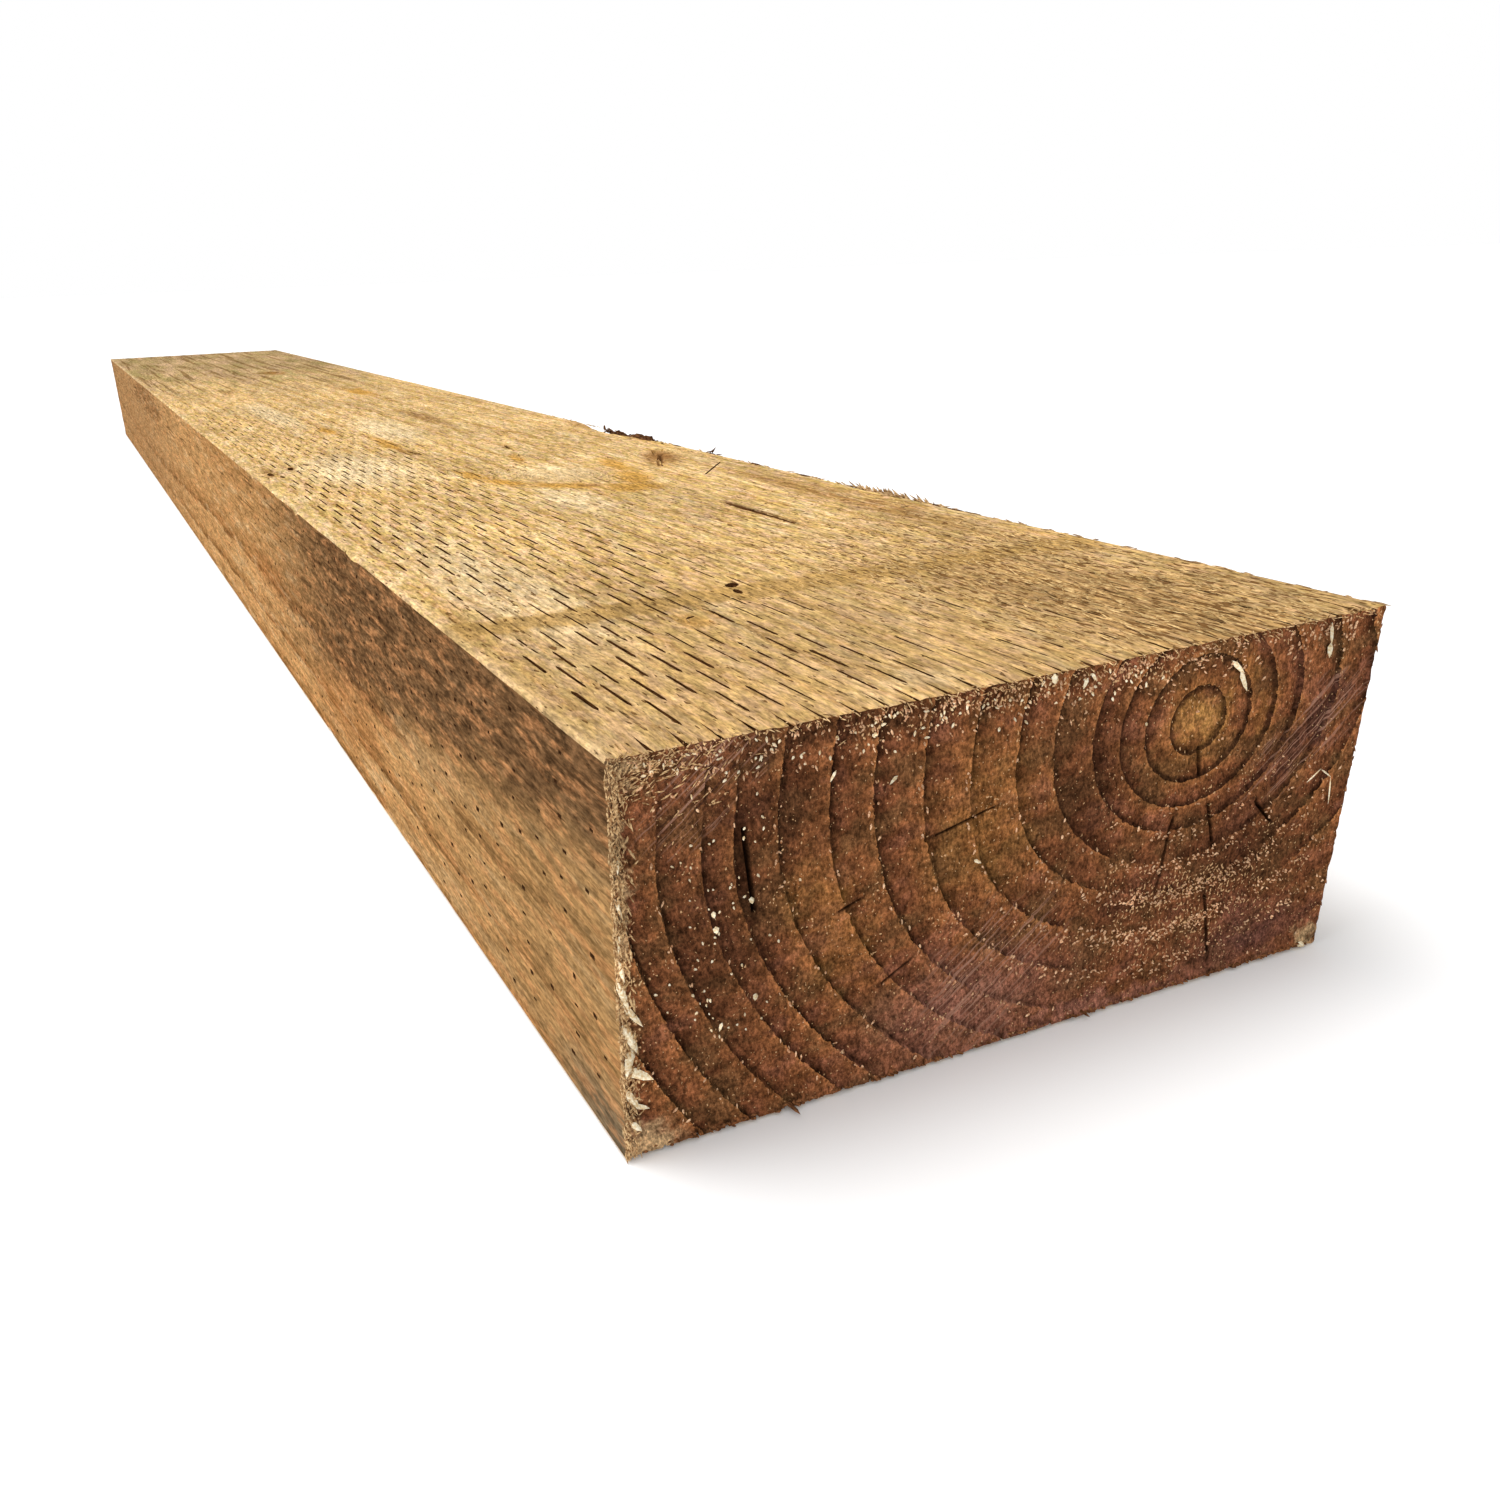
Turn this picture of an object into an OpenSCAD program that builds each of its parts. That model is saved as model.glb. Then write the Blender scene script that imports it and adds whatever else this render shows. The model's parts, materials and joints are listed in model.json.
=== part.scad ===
// Railway sleeper of sawn softwood: one timber, lying on its wide face.
// +X runs along the timber, the front face is at -Y and the bottom lies on Z = 0.
// The origin is the middle of the bottom face.

/* [Timber] */
// Length of the timber along X
length = 1800; // [900:50:2600]
// Width of the wide faces along Y
width = 225; // [180:5:260]
// Thickness from the bottom face to the top face
thickness = 100; // [80:5:150]
// Width of the easing on each long arris
arris = 1.5; // [0.5:0.5:4]

/* [Growth centre] */
// Distance of the pith from the front face
pith_in = 163.5; // [100:0.5:170]
// Depth of the pith below the top face
pith_down = 20; // [15:1:40]

/* [Drying checks] */
// Width of a check where it opens on the end
check_w = 0.8; // [0.4:0.1:2]
// How far a check runs into the timber from the end
check_deep = 12; // [4:1:40]

/* [Wane] */
// Distance of the middle of the missing arris from the right-hand end
wane_at = 525; // [300:5:600]
// Length of the missing arris
wane_l = 120; // [60:5:200]
// How deep the wane bites, measured square across the arris
wane_deep = 7; // [3:0.5:15]

/* [Resin pocket] */
// Distance of the middle of the pocket from the right-hand end
pocket_at = 231.5; // [100:0.5:290]
// Distance of the pocket from the front face
pocket_in = 161; // [20:1:164]
// Length of the pocket along the grain
pocket_l = 81; // [40:1:120]
// Width of the pocket across the grain
pocket_w = 3; // [1:0.5:6]
// Depth of the pocket at its middle
pocket_deep = 4; // [2:0.5:8]

/* [Knot split] */
// Distance of the middle of the split from the right-hand end
split_at = 357; // [320:1:400]
// Distance of the middle of the split from the back face
split_in = 16; // [10:1:30]
// Angle of the split to the length of the timber
split_turn = 37; // [10:1:60]
// Length of the split on the top face
split_l = 58; // [20:1:80]
// Width of the split where it opens on the top face
split_w = 1; // [0.5:0.1:2]
// Depth of the split at its middle
split_deep = 6; // [2:0.5:12]

/* [Hidden] */
// How far a cut runs past the face it opens on
over = 1;
// Facets of the wide cutting discs
disc_fn = 96;
// Direction of each check about the pith, 0 towards +Y and 90 upwards,
// with the distances from the pith where it starts and ends
right_checks = [
    [-77, 7, 17],
    [-100, 23, 48],
    [-71, 24, 40],
    [-75, 51, 76],
    [-46, 36, 50]
];
left_checks = [
    [-84, 10, 34],
    [-112, 28, 62],
    [-165, 40, 70]
];

// Radius of a disc that cuts a boat-shaped hollow of this length and depth
function boat_r(long, deep) = long * long / (8 * deep) + deep / 2;

// The sawn section across the timber, with its front bottom corner at the origin
module sawn_section() {
    polygon([
        [arris, 0],
        [width - arris, 0],
        [width, arris],
        [width, thickness - arris],
        [width - arris, thickness],
        [arris, thickness],
        [0, thickness - arris],
        [0, arris]
    ]);
}

// The timber as it leaves the saw
module sawn_timber() {
    translate([-length / 2, -width / 2, 0])
        rotate([90, 0, 90])
            linear_extrude(height = length) sawn_section();
}

// A boat-shaped hollow along X, cut down from Z = 0 and deepest at the origin
module boat(long, wide, deep) {
    r = boat_r(long, deep);
    translate([0, wide / 2, r - deep])
        rotate([90, 0, 0]) cylinder(h = wide, r = r, $fn = disc_fn);
}

// The arris that is missing over part of the back of the top face
module wane() {
    across = 2 * thickness;
    translate([length / 2 - wane_at, width / 2, thickness])
        rotate([-45, 0, 0]) boat(wane_l, across, wane_deep + arris / sqrt(2));
}

// The open resin pocket in the top face
module resin_pocket() {
    translate([length / 2 - pocket_at, pocket_in - width / 2, thickness])
        boat(pocket_l, pocket_w, pocket_deep);
}

// The split that runs from the knot to the back arris
module knot_split() {
    translate([length / 2 - split_at, width / 2 - split_in, thickness])
        rotate([0, 0, 180 - split_turn]) boat(split_l, split_w, split_deep);
}

// The radial drying checks of one end, cut from the end at X = 0 towards -X
module drying_checks(checks) {
    translate([0, pith_in - width / 2, thickness - pith_down])
        for (c = checks)
            rotate([c[0], 0, 0])
                translate([-check_deep, c[1], -check_w / 2])
                    cube([check_deep + over, c[2] - c[1], check_w]);
}

// The whole sleeper
module sleeper() {
    color("#b0803f")
        difference() {
            sawn_timber();
            wane();
            resin_pocket();
            knot_split();
            translate([length / 2, 0, 0]) drying_checks(right_checks);
            translate([-length / 2, 0, 0]) mirror([1, 0, 0]) drying_checks(left_checks);
        }
}

sleeper();
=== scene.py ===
"""Looks of the railway sleeper: one sawn softwood timber, incised and treated brown."""
import json
import math
import random

import bpy
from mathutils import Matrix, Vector, noise
from mathutils.geometry import delaunay_2d_cdt

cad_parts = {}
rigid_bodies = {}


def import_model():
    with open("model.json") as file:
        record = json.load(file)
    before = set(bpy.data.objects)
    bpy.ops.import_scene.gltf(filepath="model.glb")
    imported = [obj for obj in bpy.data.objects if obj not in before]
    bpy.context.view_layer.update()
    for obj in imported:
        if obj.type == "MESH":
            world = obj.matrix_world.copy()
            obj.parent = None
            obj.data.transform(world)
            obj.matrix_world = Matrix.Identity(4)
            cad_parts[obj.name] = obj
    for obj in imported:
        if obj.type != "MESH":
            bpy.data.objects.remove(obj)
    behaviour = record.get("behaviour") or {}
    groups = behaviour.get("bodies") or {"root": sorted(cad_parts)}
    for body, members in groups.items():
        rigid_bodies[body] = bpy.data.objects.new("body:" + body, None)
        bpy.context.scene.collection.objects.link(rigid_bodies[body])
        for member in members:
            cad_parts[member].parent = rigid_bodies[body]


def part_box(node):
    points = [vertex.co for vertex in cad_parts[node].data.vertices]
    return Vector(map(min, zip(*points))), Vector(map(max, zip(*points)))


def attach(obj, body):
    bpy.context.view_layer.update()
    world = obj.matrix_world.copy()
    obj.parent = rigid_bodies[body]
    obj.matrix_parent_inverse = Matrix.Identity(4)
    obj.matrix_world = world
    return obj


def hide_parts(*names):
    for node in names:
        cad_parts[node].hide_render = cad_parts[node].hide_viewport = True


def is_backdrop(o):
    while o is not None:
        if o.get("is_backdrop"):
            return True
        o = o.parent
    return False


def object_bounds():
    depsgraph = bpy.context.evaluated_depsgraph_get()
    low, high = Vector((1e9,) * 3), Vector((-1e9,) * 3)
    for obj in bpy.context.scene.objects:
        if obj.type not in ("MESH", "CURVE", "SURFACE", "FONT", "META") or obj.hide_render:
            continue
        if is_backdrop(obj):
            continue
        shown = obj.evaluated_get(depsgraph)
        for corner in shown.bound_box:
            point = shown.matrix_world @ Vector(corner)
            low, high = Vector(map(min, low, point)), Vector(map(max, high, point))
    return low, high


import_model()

CAD_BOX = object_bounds()
MM = 0.001
low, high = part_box("sleeper")
LONG, WIDE, THICK = [side / MM for side in high - low]

# Growth rings. The pith is measured from the front face and from the top face.
PITH_IN = 163
PITH_DOWN = 20.6
# Where each ring ends, measured from the pith towards the front face.
RINGS = [9.4, 17.5, 25.5, 34, 46.5, 58, 71.5, 84.6, 97.7, 109, 122, 133, 141, 152, 161, 171]
# Branches that grow out of the pith: distance from the right end, direction
# in degrees from the back towards the top, and radius of the knot.
KNOTS = [
    (372, 148, 15), (452, 140, 5), (405, 24, 9), (1287, 145, 12), (820, -62, 13), (1120, 196, 5),
    (640, -8, 9), (1530, -70, 12),
]

# Incisions, cut by the teeth of a roller.
ROW_STEP = 4.1
ROW_FIRST = 10.5
SLIT_STEP = 34.5
SLIT_LONG = 20
SLIT_WIDE = 0.95
SLIT_DEEP = 5.0

# The timber's materials, by their slots.
WIDE_WOOD, NARROW_WOOD, END_WOOD = 0, 1, 2


def wobble(point, size, seed=0):
    """Smooth noise from -1 to 1 that changes over about this many millimetres."""
    shift = 37.7 * seed
    return noise.noise(Vector(point) / size + Vector((shift, -shift, shift)))


def bump_at(value, middle, half):
    """1 at the middle, falling smoothly to 0 at half on each side."""
    away = abs(value - middle) / half
    return 0.0 if away >= 1 else 0.5 + 0.5 * math.cos(math.pi * away)


class Face:
    """One side of the timber. u and v run over it from a corner, and deep runs inwards."""

    def __init__(self, name, corner, along, across, out, size):
        self.name = name
        self.corner = Vector(corner)
        self.along = Vector(along)
        self.across = Vector(across)
        self.out = Vector(out)
        self.size = size
        self.flip = self.along.cross(self.across).dot(self.out) < 0

    def place(self, u, v, deep=0.0):
        return self.corner + self.along * u + self.across * v - self.out * deep


X, Y, Z = LONG / 2, WIDE / 2, THICK
TOP = Face("top", (X, -Y, Z), (-1, 0, 0), (0, 1, 0), (0, 0, 1), (LONG, WIDE))
BOTTOM = Face("bottom", (X, -Y, 0), (-1, 0, 0), (0, 1, 0), (0, 0, -1), (LONG, WIDE))
FRONT = Face("front", (X, -Y, Z), (-1, 0, 0), (0, 0, -1), (0, -1, 0), (LONG, THICK))
BACK = Face("back", (X, Y, Z), (-1, 0, 0), (0, 0, -1), (0, 1, 0), (LONG, THICK))
RIGHT = Face("right", (X, -Y, Z), (0, 1, 0), (0, 0, -1), (1, 0, 0), (WIDE, THICK))
LEFT = Face("left", (-X, -Y, Z), (0, 1, 0), (0, 0, -1), (-1, 0, 0), (WIDE, THICK))


# ---------------------------------------------------------------- the wood inside


def pith(x):
    """Where the pith lies at this place along the timber, across and up."""
    u = X - x
    drift = 1 - math.exp(-u / 500)
    y = PITH_IN - Y + 5 * drift * math.sin(u / 260)
    z = THICK - PITH_DOWN + 4 * drift * math.sin(u / 190 + 1)
    return y, z


def bent(point):
    """The place in straight-grained wood, and how far inside a knot it is (0 to 1)."""
    x, y, z = point
    knot = 0.0
    cy, cz = pith(x)
    for u, turn, radius in KNOTS:
        dx = (x - (X - u)) / 2.2
        if abs(dx) > 9 * radius:
            continue
        way = (math.cos(math.radians(turn)), math.sin(math.radians(turn)))
        out = (y - cy) * way[0] + (z - cz) * way[1]
        side = (z - cz) * way[0] - (y - cy) * way[1]
        if out < 0:
            continue
        grown = radius * min(1.0, 0.35 + out / 60)
        away2 = dx * dx + side * side
        inside = grown * grown / max(away2, grown * grown * 0.25)
        push = side * (-inside) * min(1.0, out / 12)
        y -= way[1] * push
        z += way[0] * push
        near = math.sqrt(away2 * 2.0) / grown
        knot = max(knot, min(1.0, max(0.0, 1.6 - near)))
    return (x, y, z), knot


def reach(point):
    """Distance from the pith, measured as if every ring were round."""
    x, y, z = point
    cy, cz = pith(x)
    dy, dz = y - cy, z - cz
    r = max(math.hypot(dy, dz), 0.01)
    down = max(0.0, -dz) / r
    back = max(0.0, dy) / r
    squash = 1 + 0.22 * min(r / 44, 1) * down * down - 0.07 * min(r / 25, 1) * back * back
    uneven = 1.6 * wobble((x * 0.15, y, z), 45, 3) * min(1, r / 50)
    return r * squash + uneven


def ring_count(far):
    """How many rings lie inside this reach, with its fraction."""
    inner = 0.0
    for count, outer in enumerate(RINGS):
        if far < outer:
            return count + (far - inner) / (outer - inner)
        inner = outer
    return len(RINGS) + (far - inner) / 10


# ---------------------------------------------------------------- the mesh


class Timber:
    """Collects the vertices and faces of one closed mesh, in millimetres."""

    def __init__(self):
        self.points = []
        # sunk: how dark the materials paint each vertex; painted shade in incisions, holes, checks, the
        # torn wane and the feet of ring steps, partly also the darker treatment soaked into the cuts
        self.sunk = []
        self.faces = []
        self.slots = []

    def add(self, point, sunk=0.0):
        self.points.append(Vector(point))
        self.sunk.append(sunk)
        return len(self.points) - 1

    def face(self, ids, slot):
        self.faces.append(ids)
        self.slots.append(slot)

    def fill(self, face, flat, ids, edges, loop, slot):
        """Triangles inside a loop over the plane points flat, which stand for the vertices ids."""
        found = delaunay_2d_cdt([Vector(p) for p in flat], edges, [loop], 0, 1e-6, True)
        places, faces, sources, inside = found[0], found[2], found[3], found[5]
        keep = []
        for spot, source in zip(places, sources):
            if source:
                keep.append(ids[source[0]])
            else:
                keep.append(self.add(face.place(spot.x, spot.y, 0.8), 0.4))
        for f, loops in zip(faces, inside):
            if not loops:
                continue
            order = [keep[i] for i in f]
            if len(set(order)) < 3:
                continue
            self.face(order[::-1] if face.flip else order, slot)


def boat(u, v, long, wide, deep, turn, sides, keel, rng, blunt=1.0):
    """Outline points and keel points of a boat-shaped cut: (u, v, deep) each."""
    c, s = math.cos(turn), math.sin(turn)
    rim, bottom = [], []
    for i in range(sides):
        a = 2 * math.pi * i / sides
        rough = 1 if i % (sides // 2) == 0 else rng.uniform(0.75, 1.25)
        p = math.copysign(abs(math.cos(a)) ** blunt, math.cos(a)) * long / 2
        q = math.copysign(abs(math.sin(a)) ** blunt, math.sin(a)) * wide / 2 * rough
        rim.append((u + p * c - q * s, v + p * s + q * c, 0.0))
    for i in range(keel):
        p = 0.0 if keel == 1 else long * (i / (keel - 1) - 0.5) * (0.9 - 0.3 * blunt)
        bottom.append((u + p * c, v + p * s, deep))
    return rim, bottom


class Sheet:
    """The plane points and edges of one face of the timber, to be filled with triangles."""

    def __init__(self, timber, face):
        self.timber, self.face = timber, face
        self.flat, self.ids, self.edges = [], [], []

    def put(self, u, v, vertex):
        self.flat.append((u, v))
        self.ids.append(vertex)
        return len(self.flat) - 1

    def dig(self, u, v, deep, sunk=0.0):
        """A new vertex this far inside the face."""
        return self.put(u, v, self.timber.add(self.face.place(u, v, deep), sunk))

    def chain(self, run):
        self.edges += zip(run, run[1:])

    def ring(self, run):
        self.chain(run + run[:1])

    def fill(self, loop, slot):
        self.timber.fill(self.face, self.flat, self.ids, self.edges, loop, slot)


class Hole:
    """A cut or tear on the top that is larger than an incision."""

    def __init__(self, u, v, long, wide, deep, turn=0.0, sides=12, keel=4, tone=1.0):
        self.u, self.v = u, v
        self.long, self.wide, self.deep = long, wide, deep
        self.turn, self.sides, self.keel = math.radians(turn), sides, keel
        # tone is the sunk value of the hole's keel: how much painted shade its bottom gets
        self.tone = tone

    def holds(self, u, v, pad):
        du, dv = u - self.u, v - self.v
        c, s = math.cos(self.turn), math.sin(self.turn)
        p, q = du * c + dv * s, dv * c - du * s
        return (p / (self.long / 2 + pad)) ** 2 + (q / (self.wide / 2 + pad)) ** 2 < 1


# Cuts and tears seen on the top: the resin pocket, the split at the knot, two
# deep holes, torn spots and marks round the knots.
HOLES = [Hole(*sizes) for sizes in (
    (228, 161, 86, 4.4, 3.5, 0, 24, 10, 0.14), (349, 201.5, 60, 1.2, 6, 37, 16, 6),
    (112.5, 90, 7, 2.4, 5, 10, 8, 2), (121, 92.5, 7, 4.0, 6, 30, 8, 2),
    (88, 61, 9, 3, 1.6, -20, 12, 3, 0.02), (84, 67, 5, 1.8, 1.5, 10, 8, 2, 0.02),
    (92, 64, 4, 1.4, 2, 60, 8, 2), (335, 131, 13, 5, 2.0, -50, 10, 3, 0.05),
    (440, 134, 14, 1.2, 2.5, 14, 10, 3, 0.016), (456, 138, 12, 1.2, 2.5, 14, 10, 3, 0.024),
    (497, 145, 22, 2.4, 2.5, 10, 10, 3, 0.1), (506, 93, 28, 3.2, 2.0, -6, 12, 4, 0.1),
    (533, 90, 22, 1.8, 1.2, -3, 12, 4, 0.01), (484, 21, 15, 3.0, 3, 8, 8, 2, 0.5),
    (468, 8, 12, 3.2, 3, 0, 8, 2, 0.5), (456, 12, 8, 2.2, 3, 0, 8, 2, 0.5),
    (496, 31, 10, 3.4, 2, 0, 8, 2, 0.1), (482, 70, 6, 3, 1.5, 0, 8, 2, 0.05),
    (381, 187, 34, 2.4, 1.6, 22, 14, 5, 0.012), (396, 195, 56, 3.6, 1.8, 23, 14, 5, 0.03),
    (418, 201, 34, 2.4, 1.6, 21, 14, 5, 0.012), (424, 209, 22, 2.2, 1.6, 21, 14, 5, 0.012),
    (128, 145, 9, 2.2, 2.0, 30, 8, 2, 0.06), (134, 149, 5, 1.6, 2.0, 50, 8, 2, 0.06),
    (60, 163, 12, 1.8, 2.0, 10, 8, 2, 0.06), (96, 171, 9, 1.6, 2.0, 20, 8, 2, 0.06),
    (56, 196, 9, 2.4, 2.0, 30, 8, 2, 0.024), (202, 191, 6, 2.2, 2.0, 30, 8, 2, 0.016),
    (655, 73, 9, 3, 1.5, 0, 8, 2, 0.016), (1287, 136, 16, 6, 1.5, 0, 10, 2, 0.012),
)]


def inset(u, arris):
    """How far the easing of this arris reaches onto its faces, and how torn it is."""
    base = 0.9 + 0.5 * abs(wobble((u, 0, 0), 23, 5 + arris))
    nick = max(0.0, wobble((u, 0, 0), 9, 11 + arris) - 0.42) * 5
    torn = 0.0
    if arris == 1:
        torn = bump_at(u, 525, 66)
        base += 8.5 * torn * (1 + 0.25 * wobble((u, 0, 0), 8, 17))
        tuft = bump_at(u, 250, 30)
        base += 1.5 * tuft
    if arris == 3:
        nick += 3.0 * bump_at(u, LONG - 12, 26)
    return base + nick, torn


# The four long edges: wide face, narrow face, and which way each runs from the edge.
ARRISES = [(TOP, FRONT, 1, 1), (TOP, BACK, -1, 1), (BOTTOM, FRONT, 1, -1), (BOTTOM, BACK, -1, -1)]
ACROSS_ARRIS = 4


def build_arris(timber, number, stations):
    """The eased long edge: rows of vertices from the wide face round to the narrow one."""
    a, b, sa, sb = ARRISES[number]
    rows = []
    for u in stations:
        reach_in, torn = inset(u, number)
        corner = a.place(u, 0 if sa > 0 else WIDE)
        row = []
        for k in range(ACROSS_ARRIS + 1):
            t = k / ACROSS_ARRIS
            angle = t * math.pi / 2
            pa = (1 - math.sin(angle)) * (1 - torn) + (1 - t) * torn
            pb = (1 - math.cos(angle)) * (1 - torn) + t * torn
            point = corner + a.across * sa * pa * reach_in + b.across * sb * pb * reach_in
            if 0 < k < ACROSS_ARRIS:
                hollow = torn * (1.2 + 1.6 * wobble(point, 5, 23))
                inward = (a.across * sa + b.across * sb) * 0.7
                point += inward * hollow
            # The torn wane's hollow gets painted shade by its sunk value.
            sunk = 0.75 * torn if 0 < k < ACROSS_ARRIS else 0.0
            row.append((timber.add(point, sunk), pa * reach_in, pb * reach_in))
        rows.append(row)
    for one, two in zip(rows, rows[1:]):
        for k in range(ACROSS_ARRIS):
            quad = [one[k][0], two[k][0], two[k + 1][0], one[k + 1][0]]
            turn = (a.along.cross(a.across * sa)).dot(a.out) > 0
            timber.face(quad[::-1] if turn else quad, WIDE_WOOD)
    return rows


def edge_notches(face, at_end):
    """Where this long face has an incision that the end cuts through."""
    notches = []
    for v, slits in lattice(face):
        for u0, u1 in slits:
            if (not at_end and u0 <= 0 < u1 - 2) or (at_end and u0 + 2 < LONG <= u1):
                notches.append(v)
    return notches


_lattices = {}


def lattice(face):
    """The incisions of a long face, row by row: (v, [(start, end), ...])."""
    if face.name in _lattices:
        return _lattices[face.name]
    rng = random.Random("rows " + face.name)
    wide = face in (TOP, BOTTOM)
    rows = []
    v = ROW_FIRST if wide else 7.0
    number = 0
    while v < face.size[1] - 6:
        start = -24.2 if number % 2 else -7
        slits = []
        while start < LONG:
            long = SLIT_LONG * rng.uniform(0.85, 1.1) if wide else rng.uniform(2.0, 4.0)
            u0 = start + rng.uniform(-1.2, 1.2) * (1 if wide else 2.5)
            if rng.random() > (0.03 if wide else 0.2):
                slits.append((u0, u0 + long))
            start += SLIT_STEP
        rows.append((v + rng.uniform(-0.25, 0.25), slits))
        v += ROW_STEP
        number += 1
    _lattices[face.name] = rows
    return rows


def swell(face, u, v):
    """How far the sawn face lies inside its plane."""
    p = face.place(u, v)
    deep = 0.18 * wobble(p, 60, 31) + 0.10 * wobble(p, 13, 32)
    if face is TOP:
        rough = fray(u, v)
        deep += rough * (0.25 + 0.5 * wobble((u * 0.4, v, 0), 3.2, 33))
    return deep


def openness(face, u, v):
    """How far the incisions stand open here: the top's are crisp on its front half only."""
    if face is not TOP:
        return 0.8
    front = 1 / (1 + math.exp((v - 104) / 7))
    near = math.exp(-((u / 100) ** 2))
    patchy = 0.85 + 0.3 * wobble((u * 0.4, v, 0), 22, 71)
    open_here = max(0.2, max(front, 0.7 * near) * patchy) / (1 + math.exp((u - 740) / 90))
    return min(1.0, open_here + 0.25 * (u > 700))


def fray(u, v):
    """How torn the grain of the top is here, from 0 to 1."""
    near = 1 / (1 + math.exp((u - 170) / 40))
    back = 1 / (1 + math.exp(-(v - 140 + 0.15 * u) / 12))
    edge = 1 / (1 + math.exp((v - 219) / 4))
    return near * back * (0.4 + 0.6 * edge)


def end_edge(timber, end, rows_by_arris, rng):
    """The four straight sides of an end's outline, between its eased corners."""
    sides = {}
    u_long = 0.0 if end is RIGHT else LONG
    for face, first, last in ((TOP, 0, 1), (BOTTOM, 2, 3), (FRONT, 0, 2), (BACK, 1, 3)):
        wide = face in (TOP, BOTTOM)
        pick = 0 if end is RIGHT else -1
        k = 0 if wide else ACROSS_ARRIS
        v0 = rows_by_arris[first][pick][k][1 if wide else 2]
        v1 = face.size[1] - rows_by_arris[last][pick][k][1 if wide else 2]
        notches = sorted(edge_notches(face, end is LEFT))
        rail = []
        v = v0 + 1.4
        half = SLIT_WIDE * 0.62
        while v < v1 - 1.0:
            near = [n for n in notches if abs(n - v) < half + 0.5]
            if near:
                n = near[0]
                deep = rng.uniform(0.7, 2.2) if wide else rng.uniform(0.5, 1.2)
                for dv, d in ((-half, 0.0), (0.0, deep), (half, 0.0)):
                    rail.append((n + dv, d))
                notches.remove(n)
                v = n + half + rng.uniform(0.9, 1.4)
            else:
                rail.append((v, 0.0))
                v += rng.uniform(1.1, 1.9)
        ids = []
        for v, deep in rail:
            ragged = 0.35 + 0.35 * wobble((v, 0, 0), 1.7, 41 + first)
            if face is BOTTOM or face is BACK:
                ragged += 0.8 * max(0.0, wobble((v, 0, 0), 3.1, 43 + last))
            back = 0.3 * wobble((v, 0, 0), 2.3, 47)
            if end is LEFT:
                back = -back
            point = face.place(u_long + back, v, deep + ragged * (deep == 0))
            ids.append((timber.add(point, min(0.7, deep / 3)), v, deep))
        sides[face.name] = ids
    return sides


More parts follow.
